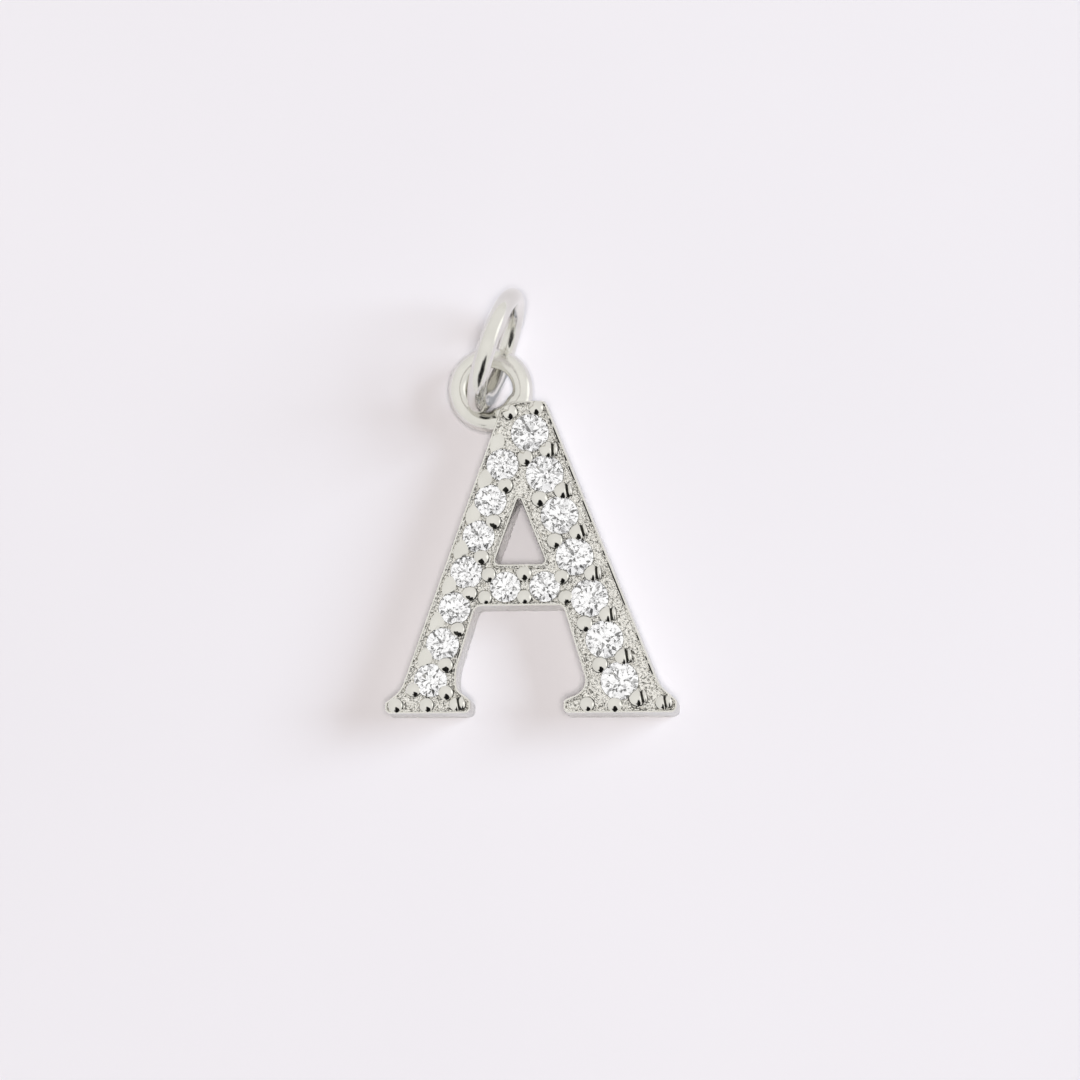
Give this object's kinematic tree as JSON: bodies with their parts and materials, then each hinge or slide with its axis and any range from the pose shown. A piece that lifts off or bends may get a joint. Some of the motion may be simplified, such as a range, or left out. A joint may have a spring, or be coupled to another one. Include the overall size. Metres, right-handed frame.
{
  "type": "initial pendant",
  "caption": "Small serif letter pendant set with round brilliant stones held by beads, with a fixed loop and a round jump ring.",
  "frame": {"origin": "middle of the whole piece's box in X and Y, on the surface the piece lies on", "axes": "+Z out of the letter's face and up from the surface it lies on, +Y toward the letter's top and the jump ring, +X to the reader's right"},
  "size_m": [0.0092, 0.0134, 0.0041],
  "materials": {
    "setting_metal": "bright rhodium plate over cast silver, fine pebbled ground between the stones",
    "ring_metal": "bright polished rhodium plate over silver wire",
    "stone": "clear colourless faceted cubic zirconia"
  },
  "bodies": {
    "root": {"letter_setting": "setting_metal", "jump_ring": "ring_metal", "stone_top": "stone", "stone_left_1": "stone", "stone_left_2": "stone", "stone_left_3": "stone", "stone_left_4": "stone", "stone_left_5": "stone", "stone_left_6": "stone", "stone_left_7": "stone", "stone_right_1": "stone", "stone_right_2": "stone", "stone_right_3": "stone", "stone_right_4": "stone", "stone_right_5": "stone", "stone_right_6": "stone", "stone_bar_1": "stone", "stone_bar_2": "stone"}
  },
  "joints": []
}
